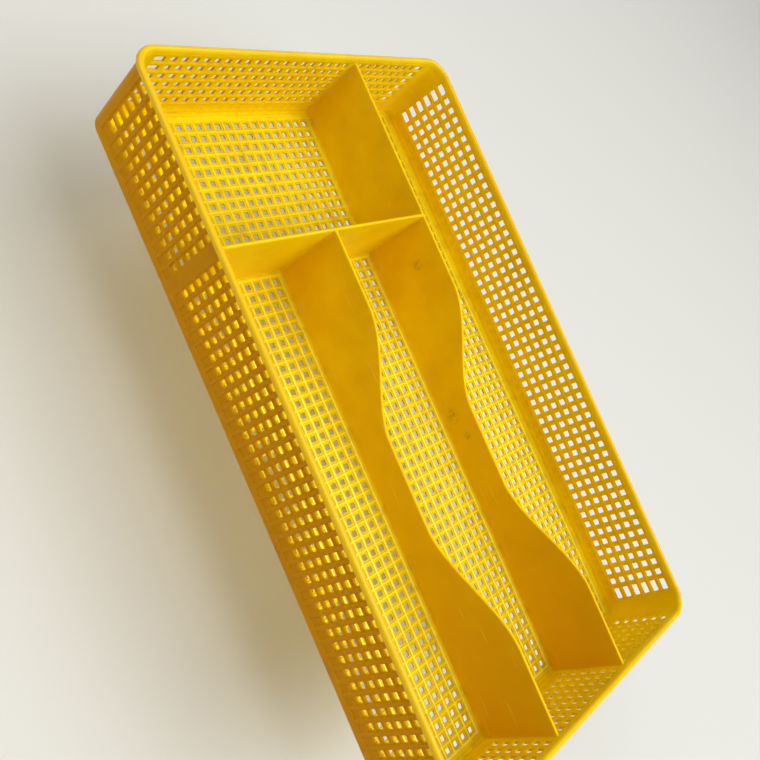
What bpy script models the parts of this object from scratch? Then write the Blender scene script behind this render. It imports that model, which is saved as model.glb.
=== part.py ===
"""Perforated cutlery tray: an open-topped plastic moulding with three inner partitions.

Units are metres, +Z is up, and the origin is the centre of the underside.
+Y runs along the tray, towards the end with the crosswise teaspoon bay.
+X points to the side with the full-length channel.

The real tray is one moulding, so the pieces below are its regions: four compartment floors,
four walls, four wall corners, the rim bead in four rails and four bends, and three
partitions.  Neighbouring regions stand a small gap apart.
"""
import math

import bmesh
import bpy

# Driving dimensions
PITCH = 0.006                       # grid that the compartments and the perforation share
HEIGHT = 0.050                      # underside to the top of the rim
RIM_INNER_HALF_WIDTH = 0.1015       # centre line to a long wall's inner face, at the rim
RIM_INNER_HALF_LENGTH = 0.168       # centre line to a short wall's inner face, at the rim
DRAFT = math.radians(2.5)           # lean of the walls, for release from the mould
CORNER_RADIUS = 0.009               # inner radius of the upright corners, at the rim
WALL = 0.002
FLOOR = 0.002
PARTITION = 0.0018
BEAD_WIDTH = 0.0035                 # rim bead, from the walls' inner face outwards
BEAD_HEIGHT = 0.0028
BEAD_OUTER_RADIUS = 0.0015
BEAD_INNER_RADIUS = 0.0009
GAP = 0.0003                        # between neighbouring regions

# Places of the partitions, in grid pitches from the centre
PARTITION_COLUMN = 5.5              # both lengthwise partitions, left and right
DIVIDER_ROW = 13.5                  # cross divider
PARTITION_TOP = 0.0464              # height of the partitions where they are full height
PARTITION_LOW = 0.0236              # height of their dip
DIP_FAR_ROWS = (7.0, -3.5)          # the top edge sinks between these two rows
DIP_NEAR_ROWS = (-10.5, -21.3)      # and climbs again between these two
DIP_STEPS = 12

CORNER_STEPS = 8
BEAD_STEPS = 3

FLOOR_COLOUR = (0.92, 0.62, 0.010, 1.0)
WALL_COLOUR = (0.86, 0.52, 0.008, 1.0)
RIM_COLOUR = (0.94, 0.64, 0.015, 1.0)
PARTITION_COLOUR = (0.80, 0.44, 0.006, 1.0)
ROUGHNESS = 0.42

# Worked out from the driving dimensions
SLOPE = math.tan(DRAFT)
CORNER_X = RIM_INNER_HALF_WIDTH - CORNER_RADIUS     # centre of the upright corners
CORNER_Y = RIM_INNER_HALF_LENGTH - CORNER_RADIUS
WALL_BOTTOM = FLOOR + GAP
WALL_TOP = HEIGHT - BEAD_HEIGHT - GAP
COLUMN_X = PARTITION_COLUMN * PITCH
DIVIDER_Y = DIVIDER_ROW * PITCH


def shrink(z):
    """How much nearer the centre a wall is at height z than at the rim."""
    return (HEIGHT - z) * SLOPE


def clear_scene():
    for existing in list(bpy.data.objects):
        bpy.data.objects.remove(existing, do_unlink=True)


def plastic(name, colour):
    material = bpy.data.materials.new(name + "_plastic")
    material.use_nodes = True
    shader = material.node_tree.nodes["Principled BSDF"]
    shader.inputs["Base Color"].default_value = colour
    shader.inputs["Roughness"].default_value = ROUGHNESS
    shader.inputs["Metallic"].default_value = 0.0
    return material


def add_loft(name, rings, colour, tray, location=(0.0, 0.0, 0.0), turn=0.0):
    """Add a closed solid that runs through equal rings of points, with both ends capped."""
    mesh_builder = bmesh.new()
    loops = [[mesh_builder.verts.new(point) for point in ring] for ring in rings]
    count = len(loops[0])
    for lower, upper in zip(loops, loops[1:]):
        for i in range(count):
            j = (i + 1) % count
            mesh_builder.faces.new((lower[i], lower[j], upper[j], upper[i]))
    mesh_builder.faces.new(loops[0])
    mesh_builder.faces.new(loops[-1])
    bmesh.ops.recalc_face_normals(mesh_builder, faces=mesh_builder.faces)
    mesh = bpy.data.meshes.new(name)
    mesh_builder.to_mesh(mesh)
    mesh_builder.free()
    part = bpy.data.objects.new(name, mesh)
    part.location = location
    part.rotation_euler = (0.0, 0.0, turn)
    part.parent = tray
    mesh.materials.append(plastic(name, colour))
    mesh.shade_smooth()
    mesh.set_sharp_from_angle(angle=math.radians(30.0))
    bpy.context.scene.collection.objects.link(part)
    return part


def arc(centre, radius, start, end, steps):
    """Points of an arc between two angles in degrees, with both ends."""
    points = []
    for i in range(steps + 1):
        angle = math.radians(start + (end - start) * i / steps)
        points.append((centre[0] + radius * math.cos(angle), centre[1] + radius * math.sin(angle)))
    return points


def floor_outline(low, high, rounded):
    """Counter-clockwise outline of a floor, with the named corners of the tray rounded."""
    radius = CORNER_RADIUS + WALL - shrink(0.0)
    corners = (("near_left", low[0], low[1], 180.0), ("near_right", high[0], low[1], 270.0),
               ("far_right", high[0], high[1], 0.0), ("far_left", low[0], high[1], 90.0))
    outline = []
    for name, x, y, start in corners:
        if name in rounded:
            centre = (math.copysign(abs(x) - radius, x), math.copysign(abs(y) - radius, y))
            outline += arc(centre, radius, start, start + 90.0, CORNER_STEPS)
        else:
            outline.append((x, y))
    return outline


def add_floors(tray):
    """The floor of each compartment reaches out under the walls and halfway under a partition."""
    half_x = RIM_INNER_HALF_WIDTH + WALL - shrink(0.0)
    half_y = RIM_INNER_HALF_LENGTH + WALL - shrink(0.0)
    seam = GAP / 2.0
    floors = (
        ("floor_teaspoon_bay", (-half_x, DIVIDER_Y + seam), (COLUMN_X - seam, half_y), ("far_left",)),
        ("floor_left_channel", (-half_x, -half_y), (-COLUMN_X - seam, DIVIDER_Y - seam), ("near_left",)),
        ("floor_middle_channel", (-COLUMN_X + seam, -half_y), (COLUMN_X - seam, DIVIDER_Y - seam), ()),
        ("floor_right_channel", (COLUMN_X + seam, -half_y), (half_x, half_y), ("near_right", "far_right")),
    )
    for name, low, high, rounded in floors:
        outline = floor_outline(low, high, rounded)
        rings = [[(x, y, z) for x, y in outline] for z in (0.0, FLOOR)]
        add_loft(name, rings, FLOOR_COLOUR, tray)


def wall_ring(half_run, z):
    """Section of a wall at height z: x outwards from the wall's inner face at the rim."""
    inner = -shrink(z)
    outer = inner + WALL
    return [(inner, -half_run, z), (outer, -half_run, z), (outer, half_run, z), (inner, half_run, z)]


def corner_ring(z):
    """Section of an upright corner at height z, about the corner's own centre."""
    inner = arc((0.0, 0.0), CORNER_RADIUS - shrink(z), 0.0, 90.0, CORNER_STEPS)
    outer = arc((0.0, 0.0), CORNER_RADIUS - shrink(z) + WALL, 90.0, 0.0, CORNER_STEPS)
    return [(x, y, z) for x, y in inner + outer]


def bead_section():
    """Section of the rim bead: distance outwards from the walls' inner face, and height."""
    bottom = HEIGHT - BEAD_HEIGHT
    outer = BEAD_WIDTH - BEAD_OUTER_RADIUS
    section = [(0.0, bottom)]
    section += arc((BEAD_WIDTH - BEAD_INNER_RADIUS, bottom + BEAD_INNER_RADIUS), BEAD_INNER_RADIUS,
                   -90.0, 0.0, BEAD_STEPS)
    section += arc((outer, HEIGHT - BEAD_OUTER_RADIUS), BEAD_OUTER_RADIUS, 0.0, 90.0, BEAD_STEPS)
    section += arc((BEAD_INNER_RADIUS, HEIGHT - BEAD_INNER_RADIUS), BEAD_INNER_RADIUS,
                   90.0, 180.0, BEAD_STEPS)
    return section


def add_sides(tray):
    """Four walls, each with its rail of the rim bead, turned to face outwards."""
    sides = (
        ("right", 0.0, (RIM_INNER_HALF_WIDTH, 0.0, 0.0), CORNER_Y),
        ("far", 90.0, (0.0, RIM_INNER_HALF_LENGTH, 0.0), CORNER_X),
        ("left", 180.0, (-RIM_INNER_HALF_WIDTH, 0.0, 0.0), CORNER_Y),
        ("near", 270.0, (0.0, -RIM_INNER_HALF_LENGTH, 0.0), CORNER_X),
    )
    section = bead_section()
    for side, turn, location, run in sides:
        half_run = run - GAP
        walls = [wall_ring(half_run, z) for z in (WALL_BOTTOM, WALL_TOP)]
        add_loft("wall_" + side, walls, WALL_COLOUR, tray, location, math.radians(turn))
        rails = [[(out, y, z) for out, z in section] for y in (-half_run, half_run)]
        add_loft("rim_rail_" + side, rails, RIM_COLOUR, tray, location, math.radians(turn))


def add_corners(tray):
    """Four upright corners, each with its bend of the rim bead."""
    corners = (
        ("far_right", 0.0, (CORNER_X, CORNER_Y, 0.0)),
        ("far_left", 90.0, (-CORNER_X, CORNER_Y, 0.0)),
        ("near_left", 180.0, (-CORNER_X, -CORNER_Y, 0.0)),
        ("near_right", 270.0, (CORNER_X, -CORNER_Y, 0.0)),
    )
    section = bead_section()
    for corner, turn, location in corners:
        posts = [corner_ring(z) for z in (WALL_BOTTOM, WALL_TOP)]
        add_loft("corner_" + corner, posts, WALL_COLOUR, tray, location, math.radians(turn))
        bends = []
        for i in range(CORNER_STEPS + 1):
            angle = math.radians(90.0 * i / CORNER_STEPS)
            bends.append([((CORNER_RADIUS + out) * math.cos(angle),
                           (CORNER_RADIUS + out) * math.sin(angle), z) for out, z in section])
        add_loft("rim_bend_" + corner, bends, RIM_COLOUR, tray, location, math.radians(turn))


def ease(start, end, steps):
    """Rows and heights of a smooth S from one height to another, as (y, z)."""
    points = []
    for i in range(steps + 1):
        t = i / steps
        blend = t * t * (3.0 - 2.0 * t)
        points.append((start[0] + (end[0] - start[0]) * t, start[1] + (end[1] - start[1]) * blend))
    return points


def dipped_edge():
    """Top edge of a lengthwise partition, from the far side of its dip to the near side."""
    far_start, far_end = (row * PITCH for row in DIP_FAR_ROWS)
    near_start, near_end = (row * PITCH for row in DIP_NEAR_ROWS)
    edge = ease((far_start, PARTITION_TOP), (far_end, PARTITION_LOW), DIP_STEPS)
    edge += ease((near_start, PARTITION_LOW), (near_end, PARTITION_TOP), DIP_STEPS)
    return edge


def wall_face(z):
    """Distance from the centre to a short wall's inner face at height z, less the gap."""
    return RIM_INNER_HALF_LENGTH - shrink(z) - GAP


def add_lengthwise_partition(name, x, far_bottom, far_top, tray):
    """A plate across X that ends at the near wall and at the given far end."""
    outline = [(far_bottom, WALL_BOTTOM), (far_top, PARTITION_TOP)]
    outline += dipped_edge()
    outline += [(-wall_face(PARTITION_TOP), PARTITION_TOP), (-wall_face(WALL_BOTTOM), WALL_BOTTOM)]
    rings = [[(side, y, z) for y, z in outline] for side in (-PARTITION / 2.0, PARTITION / 2.0)]
    add_loft(name, rings, PARTITION_COLOUR, tray, (x, 0.0, 0.0))


def add_partitions(tray):
    """One partition over the full length, one cross divider, and one partition up to it."""
    add_lengthwise_partition("partition_long", COLUMN_X, wall_face(WALL_BOTTOM),
                             wall_face(PARTITION_TOP), tray)
    short_end = DIVIDER_Y - PARTITION / 2.0 - GAP
    add_lengthwise_partition("partition_short", -COLUMN_X, short_end, short_end, tray)

    right_end = COLUMN_X - PARTITION / 2.0 - GAP
    outline = []
    for z in (WALL_BOTTOM, PARTITION_TOP):
        outline.append((GAP - RIM_INNER_HALF_WIDTH + shrink(z), z))
    outline += [(right_end, PARTITION_TOP), (right_end, WALL_BOTTOM)]
    rings = [[(x, side, z) for x, z in outline] for side in (-PARTITION / 2.0, PARTITION / 2.0)]
    add_loft("divider_cross", rings, PARTITION_COLOUR, tray, (0.0, DIVIDER_Y, 0.0))


def main():
    clear_scene()
    tray = bpy.data.objects.new("tray", None)
    bpy.context.scene.collection.objects.link(tray)
    add_floors(tray)
    add_sides(tray)
    add_corners(tray)
    add_partitions(tray)


main()
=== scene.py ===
"""A yellow perforated cutlery tray, held above a pale floor.

Units are metres, in the CAD frame: +Z is up, +Y points to the end with the crosswise bay.
The tray is one plastic moulding.  Each piece below is a region of it that stands for one CAD
node, and neighbouring pieces meet face to face.
"""

import math

import bmesh
import bpy
from mathutils import Matrix, Vector


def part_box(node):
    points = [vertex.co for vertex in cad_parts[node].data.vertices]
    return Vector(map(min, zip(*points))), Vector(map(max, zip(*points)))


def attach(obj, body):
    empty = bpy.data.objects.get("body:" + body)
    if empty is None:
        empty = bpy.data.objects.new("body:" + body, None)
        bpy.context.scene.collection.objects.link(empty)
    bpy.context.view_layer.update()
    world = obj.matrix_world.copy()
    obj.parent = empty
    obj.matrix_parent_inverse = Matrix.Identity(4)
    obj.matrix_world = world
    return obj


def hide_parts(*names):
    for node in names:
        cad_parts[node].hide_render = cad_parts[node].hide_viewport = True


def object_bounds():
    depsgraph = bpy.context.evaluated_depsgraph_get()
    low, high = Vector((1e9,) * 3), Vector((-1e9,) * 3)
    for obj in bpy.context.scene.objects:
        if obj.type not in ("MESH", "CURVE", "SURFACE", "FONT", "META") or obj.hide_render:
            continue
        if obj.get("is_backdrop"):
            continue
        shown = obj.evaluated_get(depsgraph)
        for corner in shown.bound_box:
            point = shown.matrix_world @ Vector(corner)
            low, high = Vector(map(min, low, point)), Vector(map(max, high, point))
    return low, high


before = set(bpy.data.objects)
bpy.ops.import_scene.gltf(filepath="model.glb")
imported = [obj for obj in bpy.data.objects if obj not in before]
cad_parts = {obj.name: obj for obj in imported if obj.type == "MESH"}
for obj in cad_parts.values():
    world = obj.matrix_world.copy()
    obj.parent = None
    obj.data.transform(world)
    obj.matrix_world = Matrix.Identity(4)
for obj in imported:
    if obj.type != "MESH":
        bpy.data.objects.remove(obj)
cad_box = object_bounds()

# ------------------------------------------------------------------ sizes read from the CAD frame
GAP = 0.0003                                    # what the CAD leaves between neighbouring nodes
rail_low, rail_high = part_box("rim_rail_right")
far_rail_low, far_rail_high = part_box("rim_rail_far")
base_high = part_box("floor_right_channel")[1]
long_low, long_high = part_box("partition_long")
divider_low, divider_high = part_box("divider_cross")

HEIGHT = rail_high[2]
BEAD_BOTTOM = rail_low[2]
BEAD_WIDTH = rail_high[0] - rail_low[0]
RIM_X = rail_low[0]                             # centre line to the long walls' inner face, at the rim
RIM_Y = far_rail_low[1]                         # the same for the short walls
CORNER_X = far_rail_high[0] + GAP               # centres of the upright corners
CORNER_Y = rail_high[1] + GAP
CORNER_RADIUS = RIM_X - CORNER_X
BASE_X = base_high[0]                           # outer side of the base
BASE_Y = base_high[1]
FLOOR_TOP = base_high[2]
COLUMN_X = (long_low[0] + long_high[0]) / 2.0   # lengthwise partitions, at plus and minus this
DIVIDER_Y = (divider_low[1] + divider_high[1]) / 2.0
PARTITION_TOP = long_high[2]

# ------------------------------------------------------------------ sizes of the fine surface
PITCH = 0.006                                   # grid of the perforation
WALL = 0.002
SLOPE = (RIM_X + WALL - BASE_X) / HEIGHT        # lean of the walls
MARGIN_DEPTH = 0.00012                          # plain floor strips lie this far below the ridges
FLOOR_LEVEL = FLOOR_TOP - MARGIN_DEPTH
MARGIN_FALL = ((0.0, 0.0), (0.09, 0.00003), (0.17, MARGIN_DEPTH))   # pitches from the grid, depth
GRID_HALF_WIDTH = 16.0 * PITCH                  # of the floors' perforation
GRID_HALF_LENGTH = 27.0 * PITCH
CORNER_REACH = 0.001                            # grid points this near a corner follow its round
CORNER_CROWDING = 1.5                           # power that spreads them along it
BASE_EDGE = 0.0016                              # radius of the base's outer lower edge
CELL_STOPS = (-1.0, -0.82, -0.58, 0.0, 0.58, 0.82, 1.0)     # points along a cell's side
HOLE_ROUNDNESS = 0.18
POCKET_EDGE = 0.0002                            # width of the rounding at a blind pocket's bottom
FIRST_ROW = 0.0045                              # lower line of the lowest row of wall cells
WALL_ROWS = 7
LONG_CELLS = 52                                 # cells in a row of a long wall
SHORT_CELLS = 30
BLIND_DEPTH = 0.00050                           # of the pockets in the lowest row, which isn't pierced
WALL_FILLET = 0.0014
BEAD_LOW = 0.0006                               # radius of the rim bead's lower outer edge
BEAD_TOP = 0.0020                               # radius of its upper outer edge
BEAD_INNER = 0.0017                             # width of the curve from the wall's inside to its top
PARTITION_FILLET = 0.0008
PARTITION_FLARE = 0.0014                        # radius in the upright corners at its ends
PARTITION_FOOT = 0.0010                         # half thickness of a partition at the floor
PARTITION_HEAD = 0.0008                         # and at its top edge
PARTITION_LOW = 0.0236                          # height of a partition in its dip
PARTITION_STEP = 0.0025                         # between its sections
DIP_FAR_ROWS = (7.0, -3.5)                      # the top edge sinks between these rows of the grid
DIP_NEAR_ROWS = (-10.5, -21.3)                  # and climbs again between these
CORNER_STEPS = 14                               # steps round the tray's upright corners
EDGE_STEPS = 4                                  # and round small edges
FILLET_STEPS = 5
SHARP_EDGE = math.radians(38.0)                 # flatter edges than this are shaded smooth

MERGE = 2.0e-6                                  # points nearer than this are one point
MERGE_SHIFT = 0.37                              # keeps round sizes off the edge between two points

# Each side has its direction in degrees, the reach of its inner face at the rim, and half its length.
SIDES = (
    ("right", 0.0, RIM_X, CORNER_Y),
    ("far", 90.0, RIM_Y, CORNER_X),
    ("left", 180.0, RIM_X, CORNER_Y),
    ("near", 270.0, RIM_Y, CORNER_X),
)
# Each corner has the direction in which its quarter turn starts, and its centre.
CORNERS = (
    ("far_right", 0.0, (CORNER_X, CORNER_Y)),
    ("far_left", 90.0, (-CORNER_X, CORNER_Y)),
    ("near_left", 180.0, (-CORNER_X, -CORNER_Y)),
    ("near_right", 270.0, (CORNER_X, -CORNER_Y)),
)

# ------------------------------------------------------------------ plastic
TRANSLUCENCY = 0.35                             # share of the light that spreads inside
GLOW_REACH = (1.0, 0.75, 0.10)                  # of red, green and blue light inside
GLOW_DEPTH = 0.0010
POLYTHENE_IOR = 1.5
BUMP_STRENGTH = 0.25
BUMP_HEIGHT = 0.0001

# ------------------------------------------------------------------ colours (linear)
FLOOR_YELLOW = (0.92, 0.72, 0.002)
WALL_YELLOW = (0.94, 0.67, 0.001)
RIM_YELLOW = (0.95, 0.66, 0.002)
PARTITION_YELLOW = (0.97, 0.66, 0.001)
OUTER_SHADE_AMBER = (0.74, 0.315, 0.001)              # painted shade: the outside and the depth of the long walls' holes are coloured duller and more amber
# painted shade on the rim bead's outer side
RIM_SHADE_AMBER = (0.94, 0.58, 0.001)
RECESS_SHADE_OLIVE = (0.72, 0.54, 0.001)              # painted shade between the floor's fine ridges
CREST_HIGHLIGHT_CREAM = (1.0, 0.90, 0.12)                 # painted highlight on the ridges' tops
PARTITION_NEAR_SHADE = (0.79, 0.425, 0.001)           # painted shade: the partitions' upright faces are darker and more orange towards the near end
# dark brown of the smudges and of the patches low down
DARK_BROWN = (0.30, 0.16, 0.03)
SMUDGES = (                                     # on the full-length partition's left face
    ((COLUMN_X - PARTITION_HEAD, 0.060, 0.030), 0.0040),
    ((COLUMN_X - PARTITION_HEAD, -0.020, 0.010), 0.0055),
    ((COLUMN_X - PARTITION_HEAD, -0.033, 0.014), 0.0030),
)
SMUDGE_STRENGTH = 0.75
STAGE_GREY = (0.70, 0.715, 0.690)
ROOM_LEFT = (1.0, 0.89, 0.70)                   # the dim side of the room
ROOM_RIGHT = (0.97, 0.98, 1.0)                  # and the window's side

# ------------------------------------------------------------------ where tones start and are full
OUTER_DEPTHS = (0.0002, 0.0011)                 # measured outwards from a wall's inner face
EDGE_DEPTHS = (0.0008, 0.0014)                  # the same, at the base's outer edge
DEEP_TONE = 0.9                                 # strength of a tone in the depth of a wall
OUTER_TURN = (0.25, 0.80)                       # cosines of the angle between a face and outwards
OUTER_LEAN = (1.0, 0.6, 0.0)                    # allows for the tray being longer than it is wide
LEVEL_Z = (0.0, 0.9)                            # z of the normals of upright and of level faces
RECESS_Z = (FLOOR_TOP - 0.0004, FLOOR_TOP - 0.0001)     # full below the first, gone above the second
CREST_Z = (FLOOR_TOP - 0.00004, FLOOR_TOP - 0.00001)
CREST_TONE = 0.8
CREST_HIGHLIGHT_Y = (0.10, 0.03)                       # grows from the crosswise bay's side
NEAR_SHADE_Y = (0.03, -0.14)                        # grows towards the near end
NEAR_SHADE_TONE = 0.8
LOW_PATCH_Z = (0.0016, 0.0075)                      # full below the first height, gone above the second

# ------------------------------------------------------------------ stage, room and camera
STAGE_SIZE = 12.0
STAGE_Z = -0.0780                               # the tray is held above the pale surface
STAGE_ROUGHNESS = 0.85
ROOM_TURN = (-0.6, 0.8)                         # x of the directions where the two sides are full
ROOM_STRENGTH = (0.15, 0.28)                    # of the dim side and of the window's side
THROUGH_Z = -0.002                              # the lamp beneath the tray
LAMP_UP = (0.0, 1.0, 0.1)                       # no lamp looks along this
CAMERA_PLACE = (-0.3288, -0.0125, 0.3155)
CAMERA_TARGET = (0.0223, 0.0110, 0.0020)
CAMERA_UP = (0.2341, 0.9142, 0.3308)
CAMERA_SENSOR = 36.0                            # width in millimetres, and the focal length below
CAMERA_LENS = 41.64
CAMERA_SHIFT = (-0.0367, -0.0107)
CAMERA_CLIP = (0.01, 50.0)


# ------------------------------------------------------------------ closed solids
class Shell:
    """A closed solid in the making; points that lie in one place are shared."""

    def __init__(self):
        self.points = []
        self.faces = []
        self.known = {}

    def point(self, place):
        """The number of the point at a place, which is added when it is new."""
        key = tuple(math.floor(value / MERGE + MERGE_SHIFT) for value in place)
        if key not in self.known:
            self.known[key] = len(self.points)
            self.points.append(tuple(place))
        return self.known[key]

    def loop(self, places):
        """The numbers of the points at the given places."""
        return [self.point(place) for place in places]

    def face(self, corners):
        """Add a face, leaving out corners that fell together."""
        kept = [c for i, c in enumerate(corners) if c != corners[i - 1]]
        if len(kept) >= 3:
            self.faces.append(tuple(kept))

    def band(self, first, second, closed=True):
        """Quads between two loops with equally many points."""
        count = len(first)
        for i in range(count if closed else count - 1):
            j = (i + 1) % count
            self.face((first[i], first[j], second[j], second[i]))

    def loft(self, loops, closed=True, capped=True):
        """Skin a row of loops, with a flat face at either end."""
        for first, second in zip(loops, loops[1:]):
            self.band(first, second, closed)
        if capped:
            self.face(loops[0])
            self.face(loops[-1])

    def fan(self, ring, centre):
        """Triangles from a ring of points to a centre."""
        middle = self.point(centre)
        for i in range(len(ring)):
            self.face((ring[i], ring[(i + 1) % len(ring)], middle))

    def piece(self, node, slot, material):
        """Make the object that stands for a CAD node."""
        mesh = bpy.data.meshes.new(node + "_mesh")
        mesh.from_pydata(self.points, [], self.faces)
        builder = bmesh.new()
        builder.from_mesh(mesh)
        bmesh.ops.recalc_face_normals(builder, faces=builder.faces)
        builder.to_mesh(mesh)
        builder.free()
        mesh.shade_smooth()
        mesh.set_sharp_from_angle(angle=SHARP_EDGE)
        mesh.materials.append(material)
        thing = bpy.data.objects.new(node + "_detail", mesh)
        bpy.context.scene.collection.objects.link(thing)
        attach(thing, "root")
        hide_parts(node)


def quarter_turn(steps, start=0.0):
    """Angles through a right angle from start degrees, both ends included."""
    return [math.radians(start + 90.0 * step / steps) for step in range(steps + 1)]


def smooth(t):
    """Goes softly from 0 at 0 to 1 at 1."""
    t = min(max(t, 0.0), 1.0)
    return t * t * (3.0 - 2.0 * t)


def shrink(z):
    """How much nearer the centre a wall is at height z than at the rim."""
    return (HEIGHT - z) * SLOPE


# ------------------------------------------------------------------ perforated sheets
class Relief:
    """Depth of one face of a sheet: raised bars one way, lower bars across them.

    Distances from the grid lines are given in pitches, and depths in metres.
    """

    def __init__(self, raised, crest, foot, drop, low, insets, low_crest=0.0, low_foot=None):
        self.raised = raised                    # "columns" or "rows": the lines with raised bars
        self.crest = crest * PITCH              # half width of a raised bar's top
        self.foot = foot * PITCH                # half width of its foot
        self.drop = drop                        # depth beside it
        self.low = low                          # depth of the crossing bars' rounded tops
        self.insets = insets                    # of the rings of points, from a cell's lines
        self.low_crest = low_crest * PITCH
        self.low_foot = low_foot * PITCH if low_foot else None     # the crossing bars are round without it

    def beside_line(self, lines, distance, plain):
        """Depth that the bar on a grid line gives at a distance from that line."""
        if plain or lines == self.raised:
            return self.drop * smooth((distance - self.crest) / (self.foot - self.crest))
        if self.low_foot:
            fall = smooth((distance - self.low_crest) / (self.low_foot - self.low_crest))
            return self.low + (self.drop - self.low) * fall
        share = (distance - self.low_crest) / (self.insets[-1] * PITCH - self.low_crest)
        share = min(max(share, 0.0), 1.0)
        return self.low + (self.drop - self.low) * (1.0 - math.sqrt(1.0 - share * share))

    def depth(self, u, v, cell, plain):
        """Depth at a point of a cell whose four lines may border plain plastic."""
        return min(self.beside_line("columns", u - cell[0], plain[0]),
                   self.beside_line("columns", cell[1] - u, plain[1]),
                   self.beside_line("rows", v - cell[2], plain[2]),
                   self.beside_line("rows", cell[3] - v, plain[3]))


def cell_ring(cell, inset, roundness):
    """Points around a cell, moved inwards from its lines and rounded at the corners."""
    middle_u, half_u = (cell[0] + cell[1]) / 2.0, (cell[1] - cell[0]) / 2.0 - inset
    middle_v, half_v = (cell[2] + cell[3]) / 2.0, (cell[3] - cell[2]) / 2.0 - inset
    stops = CELL_STOPS[:-1]
    square = [(s, -1.0) for s in stops] + [(1.0, s) for s in stops]
    square += [(-s, 1.0) for s in stops] + [(-1.0, -s) for s in stops]
    ring = []
    for a, b in square:
        pull = 1.0 - roundness * (1.0 - 1.0 / math.hypot(a, b))
        ring.append((middle_u + a * pull * half_u, middle_v + b * pull * half_v))
    return ring


class Sheet:
    """A perforated sheet in (u, v, w): w is the distance behind its front face."""

    def __init__(self, place, thickness, columns, rows, kind, front, back):
        self.shell = Shell()
        self.place = place
        self.thickness = thickness
        self.columns = columns
        self.rows = rows
        self.kind = kind                        # of a cell: "hole", "blind" or "plain"
        self.front = front
        self.back = back

    def cell_kind(self, column, row):
        inside = 0 <= column < len(self.columns) - 1 and 0 <= row < len(self.rows) - 1
        return self.kind(column, row) if inside else "plain"

    def ring(self, cell, plain, inset, on_front, deepest):
        """A ring of points on one face, rounded more the nearer it lies to the hole."""
        relief = self.front if on_front else self.back
        roundness = HOLE_ROUNDNESS * (inset / (relief.insets[-1] * PITCH)) ** 2
        places = []
        for u, v in cell_ring(cell, inset, roundness):
            depth = min(relief.depth(u, v, cell, plain), deepest)
            places.append(self.place(u, v, depth if on_front else self.thickness - depth))
        return self.shell.loop(places)

    def flat_ring(self, cell, inset, roundness, w):
        return self.shell.loop([self.place(u, v, w) for u, v in cell_ring(cell, inset, roundness)])

    def side_rings(self, cell, plain, on_front, deepest):
        """Rings from a cell's lines to the lip of its hole, over one face."""
        relief = self.front if on_front else self.back
        return [self.ring(cell, plain, inset * PITCH, on_front, deepest) for inset in relief.insets]

    def add_cell(self, column, row):
        cell = (self.columns[column], self.columns[column + 1], self.rows[row], self.rows[row + 1])
        kind = self.cell_kind(column, row)
        middle = ((cell[0] + cell[1]) / 2.0, (cell[2] + cell[3]) / 2.0)
        if kind == "plain":
            for w in (0.0, self.thickness):
                self.shell.fan(self.flat_ring(cell, 0.0, 0.0, w), self.place(*middle, w))
            return
        plain = [self.cell_kind(column - 1, row) == "plain", self.cell_kind(column + 1, row) == "plain",
                 self.cell_kind(column, row - 1) == "plain", self.cell_kind(column, row + 1) == "plain"]
        deepest = BLIND_DEPTH if kind == "blind" else self.thickness
        front = self.side_rings(cell, plain, True, deepest)
        back = self.side_rings(cell, plain, False, deepest)
        for rings in (front, back):
            self.shell.loft(rings, capped=False)
        if kind == "hole":
            self.shell.band(front[-1], back[-1])
            return
        for relief, rings, w in ((self.front, front, self.front.drop),
                                 (self.back, back, self.thickness - BLIND_DEPTH)):
            inset = relief.insets[-1] * PITCH + POCKET_EDGE
            pocket = self.flat_ring(cell, inset, HOLE_ROUNDNESS, w)
            self.shell.band(rings[-1], pocket)
            self.shell.fan(pocket, self.place(*middle, w))

    def add_cells(self):
        for column in range(len(self.columns) - 1):
            for row in range(len(self.rows) - 1):
                self.add_cell(column, row)

    def stops_along(self, lines):
        """Every point along a line of cells."""
        stops = [lines[0]]
        for low, high in zip(lines, lines[1:]):
            for stop in CELL_STOPS[1:]:
                stops.append((low + high) / 2.0 + stop * (high - low) / 2.0)
        return stops

    def boundary(self):
        """Points and outward directions around the whole grid, counter-clockwise."""
        us, vs = self.stops_along(self.columns), self.stops_along(self.rows)
        walk = [(u, vs[0], (0, -1)) for u in us[1:-1]]
        walk.insert(0, (us[0], vs[0], (-1, -1)))
        walk.append((us[-1], vs[0], (1, -1)))
        walk += [(us[-1], v, (1, 0)) for v in vs[1:-1]]
        walk.append((us[-1], vs[-1], (1, 1)))
        walk += [(u, vs[-1], (0, 1)) for u in reversed(us[1:-1])]
        walk.append((us[0], vs[-1], (-1, 1)))
        walk += [(us[0], v, (-1, 0)) for v in reversed(vs[1:-1])]
        return walk


def grid_lines(first, last):
    """Grid lines from one number of pitches to another."""
    return [(first + i) * PITCH for i in range(round(last - first) + 1)]


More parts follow.
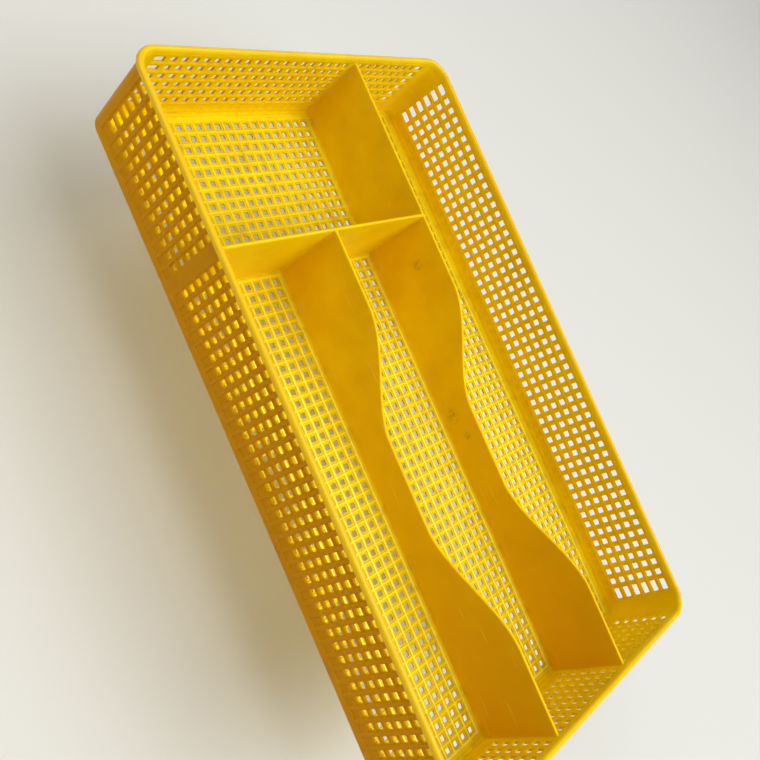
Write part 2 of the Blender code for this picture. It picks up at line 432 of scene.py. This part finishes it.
# ------------------------------------------------------------------ floors
def outline_point(u, v, direction, low, high):
    """Where a point of the grid's edge meets the floor's outline, and which way is out there."""
    x = (low[0], u, high[0])[direction[0] + 1]
    y = (low[1], v, high[1])[direction[1] + 1]
    outer_x = abs(x) > CORNER_X - CORNER_REACH
    outer_y = abs(y) > CORNER_Y
    radius = BASE_X - CORNER_X
    grid_in_corner = abs(u) > CORNER_X - CORNER_REACH and abs(v) > CORNER_Y - CORNER_REACH
    if outer_x and outer_y and grid_in_corner:
        over_x, over_y = max(abs(u) - CORNER_X, 0.0), max(abs(v) - CORNER_Y, 0.0)
        if direction[0] and direction[1]:
            angle = math.radians(45.0)
        elif direction[0]:
            angle = math.radians(45.0) * (over_y / (GRID_HALF_LENGTH - CORNER_Y)) ** CORNER_CROWDING
        else:
            share = (over_x / (GRID_HALF_WIDTH - CORNER_X)) ** CORNER_CROWDING
            angle = math.radians(90.0) - math.radians(45.0) * share
        out = (math.copysign(math.cos(angle), u), math.copysign(math.sin(angle), v))
        centre = (math.copysign(CORNER_X, u), math.copysign(CORNER_Y, v))
        return centre[0] + radius * out[0], centre[1] + radius * out[1], out
    out_x = math.copysign(1.0, x) if direction[0] and outer_x else 0.0
    out_y = math.copysign(1.0, y) if direction[1] and outer_y else 0.0
    return x, y, (out_x, out_y)


def floor_edge(sheet, low, high):
    """The plain strip around a floor's grid, its outer edge and the flat strip beneath."""
    shell = sheet.shell
    walk = sheet.boundary()

    def beside(distance, depth):
        return shell.loop([(u + n[0] * distance, v + n[1] * distance, FLOOR_TOP - depth)
                           for u, v, n in walk])

    ends = [outline_point(u, v, n, low, high) for u, v, n in walk]

    def outline(inset, z):
        return shell.loop([(x - out[0] * inset, y - out[1] * inset, z) for x, y, out in ends])

    loops = [beside(distance * PITCH, depth) for distance, depth in MARGIN_FALL]
    loops.append(outline(0.0, FLOOR_LEVEL))
    for angle in quarter_turn(EDGE_STEPS):
        loops.append(outline(BASE_EDGE * (1.0 - math.cos(angle)), BASE_EDGE * (1.0 - math.sin(angle))))
    loops.append(shell.loop([(u, v, 0.0) for u, v, n in walk]))
    shell.loft(loops, capped=False)


def make_floor(node, columns, rows, low, high, material):
    front = Relief("columns", crest=0.06, foot=0.14, drop=0.00050, low=0.00005,
                   insets=(0.0, 0.06, 0.14, 0.26), low_crest=0.06, low_foot=0.14)
    back = Relief("rows", crest=0.13, foot=0.20, drop=0.00050, low=0.00030,
                  insets=(0.0, 0.13, 0.25), low_crest=0.05)

    def place(u, v, w):
        return (u, v, FLOOR_TOP - w)

    sheet = Sheet(place, FLOOR_TOP, grid_lines(*columns), grid_lines(*rows),
                  lambda column, row: "hole", front, back)
    sheet.add_cells()
    floor_edge(sheet, low, high)
    sheet.shell.piece(node, "floor_plastic", material)


def make_floors(material):
    """Each floor has its grid lines, counted in pitches from the middle, and its outline."""
    floors = (
        ("floor_teaspoon_bay", (-16, 5), (14, 27), (-BASE_X, DIVIDER_Y), (COLUMN_X, BASE_Y)),
        ("floor_left_channel", (-16, -6), (-27, 13), (-BASE_X, -BASE_Y), (-COLUMN_X, DIVIDER_Y)),
        ("floor_middle_channel", (-5, 5), (-27, 13), (-COLUMN_X, -BASE_Y), (COLUMN_X, DIVIDER_Y)),
        ("floor_right_channel", (6, 16), (-27, 27), (COLUMN_X, -BASE_Y), (BASE_X, BASE_Y)),
    )
    for node, columns, rows, low, high in floors:
        make_floor(node, columns, rows, low, high, material)


# ------------------------------------------------------------------ walls and corners
def foot_profile():
    """Section of a wall below its cells, from the inner face around its foot: (z, w)."""
    profile = [(FLOOR_LEVEL + WALL_FILLET, 0.0)]
    for angle in quarter_turn(FILLET_STEPS)[1:]:
        profile.append((FLOOR_LEVEL + WALL_FILLET * (1.0 - math.sin(angle)),
                        -WALL_FILLET * (1.0 - math.cos(angle))))
    profile.append((FLOOR_LEVEL, WALL))
    return profile


def turned(x, y, angle):
    """A point turned about the origin."""
    return (x * math.cos(angle) - y * math.sin(angle), x * math.sin(angle) + y * math.cos(angle))


def make_wall(node, degrees, reach, half_run, cells, blocked, material):
    """A wall: u runs along it, v is the height, w goes outwards from the inner face.

    The columns of cells at the places in blocked, which lie along u, stay plain.
    """
    angle = math.radians(degrees)

    def place(u, v, w):
        x, y = turned(reach - shrink(v) + w, u, angle)
        return (x, y, v)

    columns = [-half_run] + [(i - cells // 2 + 1) * PITCH for i in range(cells - 1)] + [half_run]
    rows = [FIRST_ROW + i * PITCH for i in range(WALL_ROWS + 1)]
    plain_columns = [round(u / PITCH + cells / 2.0 - 0.5) for u in blocked]

    def kind(column, row):
        if column in plain_columns:
            return "plain"
        return "blind" if row == 0 else "hole"

    front = Relief("rows", crest=0.12, foot=0.20, drop=0.00030, low=0.00015,
                   insets=(0.0, 0.12, 0.18, 0.235), low_crest=0.05)
    back = Relief("columns", crest=0.15, foot=0.19, drop=0.00125, low=0.00030,
                  insets=(0.0, 0.06, 0.11, 0.155, 0.19))
    sheet = Sheet(place, WALL, columns, rows, kind, front, back)
    sheet.add_cells()
    shell = sheet.shell

    us = sheet.stops_along(columns)
    vs = sheet.stops_along(rows)
    foot = [(rows[0], 0.0)] + foot_profile() + [(rows[0], WALL)]
    head = [(rows[-1], 0.0), (BEAD_BOTTOM, 0.0), (BEAD_BOTTOM, WALL), (rows[-1], WALL)]
    for section in (foot, head):
        shell.loft([shell.loop([place(u, z, w) for z, w in section]) for u in us], closed=False)
    for u in (us[0], us[-1]):
        shell.band(shell.loop([place(u, v, 0.0) for v in vs]),
                   shell.loop([place(u, v, WALL) for v in vs]), closed=False)
    shell.piece(node, "wall_plastic", material)


def make_walls(material):
    """The walls have no holes where the ends of the partitions meet them."""
    cells = {"right": LONG_CELLS, "far": SHORT_CELLS, "left": LONG_CELLS, "near": SHORT_CELLS}
    blocked = {"right": (), "far": (-COLUMN_X,), "left": (-DIVIDER_Y,), "near": (-COLUMN_X, COLUMN_X)}
    for name, degrees, reach, half_run in SIDES:
        make_wall("wall_" + name, degrees, reach, half_run, cells[name], blocked[name], material)


def swept_corner(section, degrees, centre):
    """A section of (radius, z) swept through the quarter turn of a corner."""
    shell = Shell()
    loops = []
    for angle in quarter_turn(CORNER_STEPS, degrees):
        loops.append(shell.loop([(centre[0] + radius * math.cos(angle),
                                  centre[1] + radius * math.sin(angle), z) for radius, z in section]))
    shell.loft(loops)
    return shell


def make_corners(material):
    profile = foot_profile() + [(BEAD_BOTTOM, WALL), (BEAD_BOTTOM, 0.0)]
    section = [(CORNER_RADIUS - shrink(z) + w, z) for z, w in profile]
    for name, degrees, centre in CORNERS:
        swept_corner(section, degrees, centre).piece("corner_" + name, "wall_plastic", material)


# ------------------------------------------------------------------ rim
def bead_section():
    """Section of the rim bead: distance outwards from the walls' inner face, and height."""
    section = [(0.0, BEAD_BOTTOM)]
    # Each round has its centre, its two radii, its first angle and its steps.
    rounds = (
        (BEAD_WIDTH - BEAD_LOW, BEAD_BOTTOM + BEAD_LOW, BEAD_LOW, BEAD_LOW, -90.0, 6),
        (BEAD_WIDTH - BEAD_TOP, HEIGHT - BEAD_TOP, BEAD_TOP, BEAD_TOP, 0.0, 8),
        (BEAD_INNER, BEAD_BOTTOM, BEAD_INNER, HEIGHT - BEAD_BOTTOM, 90.0, 9),
    )
    for out, z, half_width, half_height, start, steps in rounds:
        for angle in quarter_turn(steps, start):
            section.append((out + half_width * math.cos(angle), z + half_height * math.sin(angle)))
    return section


def make_rim(material):
    section = bead_section()
    for name, degrees, reach, half_run in SIDES:
        shell = Shell()
        angle = math.radians(degrees)
        steps = round(2.0 * half_run / PITCH)
        loops = []
        for step in range(steps + 1):
            u = -half_run + 2.0 * half_run * step / steps
            loops.append(shell.loop([(*turned(reach + out, u, angle), z) for out, z in section]))
        shell.loft(loops)
        shell.piece("rim_rail_" + name, "rim_plastic", material)
    ring = [(CORNER_RADIUS + out, z) for out, z in section]
    for name, degrees, centre in CORNERS:
        swept_corner(ring, degrees, centre).piece("rim_bend_" + name, "rim_plastic", material)


# ------------------------------------------------------------------ partitions
def dipped_top(y):
    """Height of a lengthwise partition's top edge at y."""
    far_start, far_end = (row * PITCH for row in DIP_FAR_ROWS)
    near_start, near_end = (row * PITCH for row in DIP_NEAR_ROWS)
    fall = smooth((far_start - y) / (far_start - far_end))
    rise = smooth((near_start - y) / (near_start - near_end))
    return PARTITION_TOP - (PARTITION_TOP - PARTITION_LOW) * (fall - rise)


def partition_section(top):
    """Section of a partition with that top height: distance to the side, and height."""
    def half(z):
        share = (z - FLOOR_LEVEL) / (PARTITION_TOP - FLOOR_LEVEL)
        return PARTITION_FOOT + (PARTITION_HEAD - PARTITION_FOOT) * share

    side = []
    for angle in quarter_turn(EDGE_STEPS):
        side.append((PARTITION_FOOT + PARTITION_FILLET * (1.0 - math.sin(angle)),
                     FLOOR_LEVEL + PARTITION_FILLET * (1.0 - math.cos(angle))))
    foot = side[-1][1]
    shoulder = top - PARTITION_HEAD
    for share in (0.25, 0.5, 0.75, 1.0):
        z = foot + (shoulder - foot) * share
        side.append((half(z), z))
    width = half(shoulder)
    for angle in quarter_turn(FILLET_STEPS)[1:]:
        side.append((width * math.cos(angle), shoulder + PARTITION_HEAD * math.sin(angle)))
    return side + [(-x, z) for x, z in reversed(side[:-1])]


def make_partition(node, start, end, place, top_at, material):
    """A plate from start(z) to end(z), with its top edge at the height top_at(along)."""
    shell = Shell()
    length = end(FLOOR_TOP) - start(FLOOR_TOP)
    steps = max(round(length / PARTITION_STEP), 2)
    stations = [(length * step / steps, 0.0) for step in range(1, steps)]
    for angle in quarter_turn(EDGE_STEPS):
        distance = PARTITION_FLARE * (1.0 - math.cos(angle))
        widening = PARTITION_FLARE * (1.0 - math.sin(angle))
        stations += [(distance, widening), (length - distance, widening)]
    loops = []
    for distance, widening in sorted(stations):
        share = distance / length
        middle = start(PARTITION_TOP) + (end(PARTITION_TOP) - start(PARTITION_TOP)) * share
        section = partition_section(top_at(middle))
        width = max(side for side, z in section)
        ring = []
        for side, z in section:
            along = start(z) + (end(z) - start(z)) * share
            ring.append(place(along, side * (1.0 + widening / width), z))
        loops.append(shell.loop(ring))
    shell.loft(loops)
    shell.piece(node, "partition_plastic", material)


def make_partitions(material):
    def near_wall(z):
        return -(RIM_Y - shrink(z))

    def far_wall(z):
        return RIM_Y - shrink(z)

    def left_wall(z):
        return -(RIM_X - shrink(z))

    def divider_face(z):
        return DIVIDER_Y - PARTITION_HEAD

    def long_face(z):
        return COLUMN_X - PARTITION_HEAD

    make_partition("partition_long", near_wall, far_wall, lambda y, side, z: (COLUMN_X + side, y, z),
                   dipped_top, material)
    make_partition("partition_short", near_wall, divider_face, lambda y, side, z: (-COLUMN_X + side, y, z),
                   dipped_top, material)
    make_partition("divider_cross", left_wall, long_face, lambda x, side, z: (x, DIVIDER_Y + side, z),
                   lambda x: PARTITION_TOP, material)


# ------------------------------------------------------------------ materials
def noise_node(tree, coordinates, scale, detail, stretch=(1.0, 1.0, 1.0)):
    """Noise between 0 and 1, drawn out along the axes whose stretch is under 1."""
    mapping = tree.nodes.new("ShaderNodeMapping")
    mapping.inputs["Scale"].default_value = stretch
    tree.links.new(coordinates, mapping.inputs["Vector"])
    noise = tree.nodes.new("ShaderNodeTexNoise")
    noise.inputs["Scale"].default_value = scale
    noise.inputs["Detail"].default_value = detail
    tree.links.new(mapping.outputs["Vector"], noise.inputs["Vector"])
    return noise.outputs["Fac"]


def remap(tree, value, low, high, out_low, out_high):
    """Straight line from out_low at low to out_high at high, held level beyond."""
    node = tree.nodes.new("ShaderNodeMapRange")
    node.inputs["From Min"].default_value = low
    node.inputs["From Max"].default_value = high
    node.inputs["To Min"].default_value = out_low
    node.inputs["To Max"].default_value = out_high
    tree.links.new(value, node.inputs["Value"])
    return node.outputs["Result"]


def speckle(tree, where, scale, detail, low, high, strength=1.0, stretch=(1.0, 1.0, 1.0)):
    """Patches: 0 where the noise is under low, and the full strength where it is over high."""
    return remap(tree, noise_node(tree, where, scale, detail, stretch), low, high, 0.0, strength)


def blend(tree, amount, first, second):
    """Mix two colours; each is a colour or another node's output.

    Sockets 6 and 7 and output 2 are a mix node's colours; they share their names with others.
    """
    node = tree.nodes.new("ShaderNodeMix")
    node.data_type = "RGBA"
    tree.links.new(amount, node.inputs["Factor"])
    for socket, value in ((node.inputs[6], first), (node.inputs[7], second)):
        if isinstance(value, tuple):
            socket.default_value = (*value, 1.0)
        else:
            tree.links.new(value, socket)
    return node.outputs[2]


def calculate(tree, operation, first, second=0.0):
    """One step of arithmetic; each value is a number or another node's output."""
    node = tree.nodes.new("ShaderNodeMath")
    node.operation = operation
    for socket, value in zip(node.inputs, (first, second)):
        if isinstance(value, float):
            socket.default_value = value
        else:
            tree.links.new(value, socket)
    return node.outputs["Value"]


def vector_node(tree, operation, first, second=None):
    """One step of vector arithmetic; the second value is a tuple, an output or left out."""
    node = tree.nodes.new("ShaderNodeVectorMath")
    node.operation = operation
    tree.links.new(first, node.inputs[0])
    if isinstance(second, tuple):
        node.inputs[1].default_value = second
    elif second is not None:
        tree.links.new(second, node.inputs[1])
    return node


def facing_up(tree, low, high):
    """Goes from low on upright faces to high on level ones."""
    normal = tree.nodes.new("ShaderNodeNewGeometry").outputs["Normal"]
    parts = tree.nodes.new("ShaderNodeSeparateXYZ")
    tree.links.new(normal, parts.inputs["Vector"])
    return remap(tree, parts.outputs["Z"], *LEVEL_Z, low, high)


def wall_depth(tree, split, sides):
    """Distance outwards from the inner faces of the walls on the given sides."""
    across = None
    for axis, limit in sides:
        beyond = calculate(tree, "SUBTRACT", calculate(tree, "ABSOLUTE", split.outputs[axis]), limit)
        across = beyond if across is None else calculate(tree, "MAXIMUM", across, beyond)
    below_rim = calculate(tree, "SUBTRACT", HEIGHT, split.outputs["Z"])
    return calculate(tree, "ADD", across, calculate(tree, "MULTIPLY", below_rim, SLOPE))


def outside(tree, split):
    """Painted shade: 1 where a wall faces outwards and deep in the long walls' holes, 0 inside, between on
    top.
    """
    depth = wall_depth(tree, split, (("X", RIM_X),))
    outer_half = remap(tree, depth, *OUTER_DEPTHS, 0.0, DEEP_TONE)
    outer_half = calculate(tree, "MULTIPLY", outer_half, facing_up(tree, 1.0, 0.85))

    where = tree.nodes.new("ShaderNodeTexCoord").outputs["Object"]
    level = vector_node(tree, "MULTIPLY", where, OUTER_LEAN).outputs["Vector"]
    direction = vector_node(tree, "NORMALIZE", level).outputs["Vector"]
    normal = tree.nodes.new("ShaderNodeNewGeometry").outputs["Normal"]
    facing_out = vector_node(tree, "DOT_PRODUCT", direction, normal).outputs["Value"]
    outer_face = remap(tree, facing_out, *OUTER_TURN, 0.0, 1.0)
    return calculate(tree, "MAXIMUM", outer_half, outer_face)


def base_edge_shade(tree, split):
    """Painted shade: 1 along the base's outer edge."""
    depth = wall_depth(tree, split, (("X", RIM_X), ("Y", RIM_Y)))
    return remap(tree, depth, *EDGE_DEPTHS, 0.0, DEEP_TONE)


def recess_shade(tree, split):
    """Painted shade: 1 below the floor's ridges and bars."""
    return remap(tree, split.outputs["Z"], *RECESS_Z, 1.0, 0.0)


def crest_highlight(tree, split):
    """Painted highlight: 1 on top of the floor's ridges, outside the crosswise bay."""
    crest = remap(tree, split.outputs["Z"], *CREST_Z, 0.0, CREST_TONE)
    beyond_bay = remap(tree, split.outputs["Y"], *CREST_HIGHLIGHT_Y, 0.0, 1.0)
    return calculate(tree, "MULTIPLY", crest, beyond_bay)


def nearer(tree, split):
    """Painted shade that grows on upright faces towards the near end."""
    share = remap(tree, split.outputs["Y"], *NEAR_SHADE_Y, 0.0, NEAR_SHADE_TONE)
    return calculate(tree, "MULTIPLY", share, facing_up(tree, 1.0, 0.0))


def mark(tree, where, centre, radius):
    """A smudge: strongest at its centre, broken up by noise."""
    apart = vector_node(tree, "DISTANCE", where, centre).outputs["Value"]
    nearby = remap(tree, apart, 0.0, radius, SMUDGE_STRENGTH, 0.0)
    broken = speckle(tree, where, scale=700.0, detail=4.0, low=0.40, high=0.65)
    return calculate(tree, "MULTIPLY", nearby, broken)


def surface_colour(tree, where, colour, mottle, scuffs, tones, marks):
    """The plastic's colour: mottling, the tones of its places (painted shade and highlight among them),
    scuffs, and dark patches low down.
    """
    split = tree.nodes.new("ShaderNodeSeparateXYZ")
    tree.links.new(where, split.inputs["Vector"])
    deeper = (colour[0] * 0.90, colour[1] * 0.86, colour[2] * 0.7)
    tinted = blend(tree, mottle, colour, deeper)
    for place, tone in tones:
        tinted = blend(tree, place(tree, split), tinted, tone)

    scuffed = speckle(tree, where, scale=900.0, detail=2.0, low=0.66, high=0.78, strength=scuffs,
                      stretch=(1.0, 0.04, 0.6))
    paler = (min(colour[0] * 1.05, 1.0), colour[1] * 1.12, colour[2] + 0.05)
    worn = blend(tree, scuffed, tinted, paler)

    # dark patches towards the bottom
    low_down = remap(tree, split.outputs["Z"], *LOW_PATCH_Z, 1.0, 0.0)
    patches = speckle(tree, where, scale=140.0, detail=5.0, low=0.50, high=0.75, strength=0.35)
    darkening = calculate(tree, "MULTIPLY", low_down, patches)
    for centre, radius in marks:
        darkening = calculate(tree, "MAXIMUM", darkening, mark(tree, where, centre, radius))
    return blend(tree, darkening, worn, DARK_BROWN)


def moulded_plastic(name, colour, roughness, gloss, scuffs, tones, marks=()):
    """Slightly translucent polythene with tones laid over one another.

    Each tone is a pair: a function that gives 1 where the tone is full, and a colour.
    """
    material = bpy.data.materials.new(name)
    material.use_nodes = True
    tree = material.node_tree
    shader = tree.nodes["Principled BSDF"]
    where = tree.nodes.new("ShaderNodeTexCoord").outputs["Object"]
    mottle = speckle(tree, where, scale=55.0, detail=4.0, low=0.35, high=0.70)

    tree.links.new(surface_colour(tree, where, colour, mottle, scuffs, tones, marks),
                   shader.inputs["Base Color"])
    tree.links.new(remap(tree, mottle, 0.0, 1.0, roughness - 0.05, roughness + 0.08),
                   shader.inputs["Roughness"])
    bump = tree.nodes.new("ShaderNodeBump")
    bump.inputs["Strength"].default_value = BUMP_STRENGTH
    bump.inputs["Distance"].default_value = BUMP_HEIGHT
    tree.links.new(noise_node(tree, where, scale=1400.0, detail=3.0), bump.inputs["Height"])
    tree.links.new(bump.outputs["Normal"], shader.inputs["Normal"])

    shader.inputs["Subsurface Weight"].default_value = TRANSLUCENCY
    shader.inputs["Subsurface Radius"].default_value = GLOW_REACH
    shader.inputs["Subsurface Scale"].default_value = GLOW_DEPTH
    shader.inputs["IOR"].default_value = POLYTHENE_IOR
    shader.inputs["Specular IOR Level"].default_value = gloss
    return material


def floor_plastic():
    # painted shade in the recesses and along the base's outer edge, painted highlight on the ridges' tops
    tones = ((recess_shade, RECESS_SHADE_OLIVE), (crest_highlight, CREST_HIGHLIGHT_CREAM), (base_edge_shade, OUTER_SHADE_AMBER))
    return moulded_plastic("floor_plastic_look", FLOOR_YELLOW, roughness=0.42, gloss=0.28, scuffs=0.3,
                           tones=tones)


def wall_plastic():
    # painted shade on the outer faces and deep in the long walls' holes
    return moulded_plastic("wall_plastic_look", WALL_YELLOW, roughness=0.45, gloss=0.04, scuffs=0.3,
                           tones=((outside, OUTER_SHADE_AMBER),))


def rim_plastic():
    # painted shade on the bead's outer side
    return moulded_plastic("rim_plastic_look", RIM_YELLOW, roughness=0.36, gloss=0.32, scuffs=0.5,
                           tones=((outside, RIM_SHADE_AMBER),))


def partition_plastic():
    # painted shade on the upright faces towards the near end
    return moulded_plastic("partition_plastic_look", PARTITION_YELLOW, roughness=0.42, gloss=0.10,
                           scuffs=0.6, tones=((nearer, PARTITION_NEAR_SHADE),), marks=SMUDGES)


def make_tray():
    make_floors(floor_plastic())
    walls = wall_plastic()
    make_walls(walls)
    make_corners(walls)
    make_rim(rim_plastic())
    make_partitions(partition_plastic())


# ------------------------------------------------------------------ stage, light and camera
def make_stage():
    mesh = bpy.data.meshes.new("stage_floor_mesh")
    half = STAGE_SIZE / 2.0
    corners = [(x, y, STAGE_Z) for x, y in ((-half, -half), (half, -half), (half, half), (-half, half))]
    mesh.from_pydata(corners, [], [(0, 1, 2, 3)])
    floor = bpy.data.objects.new("stage_floor", mesh)
    bpy.context.scene.collection.objects.link(floor)
    material = bpy.data.materials.new("stage_floor_look")
    material.use_nodes = True
    shader = material.node_tree.nodes["Principled BSDF"]
    shader.inputs["Base Color"].default_value = (*STAGE_GREY, 1.0)
    shader.inputs["Roughness"].default_value = STAGE_ROUGHNESS
    mesh.materials.append(material)
    floor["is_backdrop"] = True


def facing(place, target, up):
    """Rotation that looks from a place to a target."""
    back = (Vector(place) - Vector(target)).normalized()
    right = Vector(up).cross(back).normalized()
    return Matrix((right, back.cross(right), back)).transposed()


def soft_light(name, place, target, size, watts, colour, length=0.0):
    """A round lamp, or with a length a rectangular one."""
    lamp = bpy.data.lights.new(name, "AREA")
    lamp.shape = "RECTANGLE" if length else "DISK"
    lamp.size = size
    if length:
        lamp.size_y = length
    lamp.energy = watts
    lamp.color = colour
    thing = bpy.data.objects.new(name, lamp)
    thing.location = place
    thing.rotation_euler = facing(place, target, LAMP_UP).to_euler()
    thing.visible_camera = False
    bpy.context.scene.collection.objects.link(thing)


def make_lights():
    """A window, a weak fill, and the warm light that comes through the plastic onto the stage."""
    soft_light("key_light", place=(0.30, -0.80, 2.2), target=(0.0, 0.0, 0.0), size=2.6, watts=65.0,
               colour=(1.0, 0.985, 0.96))
    soft_light("fill_light", place=(-0.6, 0.9, 1.2), target=(0.0, 0.06, 0.0), size=1.0, watts=6.0,
               colour=(1.0, 0.99, 0.97))
    soft_light("through_light", place=(0.0, 0.0, THROUGH_Z), target=(0.0, 0.0, STAGE_Z),
               size=2.0 * RIM_X, watts=0.045, colour=(1.0, 0.55, 0.05), length=2.0 * RIM_Y)


def make_room():
    """Even light from all around, dimmer and warmer on the left."""
    world = bpy.data.worlds.new("studio_world")
    world.use_nodes = True
    tree = world.node_tree
    sky = tree.nodes["Background"]
    towards = tree.nodes.new("ShaderNodeSeparateXYZ")
    tree.links.new(tree.nodes.new("ShaderNodeTexCoord").outputs["Generated"], towards.inputs["Vector"])
    side = remap(tree, towards.outputs["X"], *ROOM_TURN, 0.0, 1.0)
    tree.links.new(blend(tree, side, ROOM_LEFT, ROOM_RIGHT), sky.inputs["Color"])
    tree.links.new(remap(tree, side, 0.0, 1.0, *ROOM_STRENGTH), sky.inputs["Strength"])
    bpy.context.scene.world = world
    bpy.context.scene.view_settings.view_transform = "Standard"


def make_camera():
    lens = bpy.data.cameras.new("camera")
    lens.sensor_width = CAMERA_SENSOR
    lens.lens = CAMERA_LENS
    lens.shift_x, lens.shift_y = CAMERA_SHIFT
    lens.clip_start, lens.clip_end = CAMERA_CLIP
    thing = bpy.data.objects.new("camera", lens)
    thing.location = CAMERA_PLACE
    thing.rotation_euler = facing(CAMERA_PLACE, CAMERA_TARGET, CAMERA_UP).to_euler()
    bpy.context.scene.collection.objects.link(thing)
    bpy.context.scene.camera = thing


make_tray()
make_stage()
make_lights()
make_room()
make_camera()

boxes = [[list(corner) for corner in box] for box in (cad_box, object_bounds())]
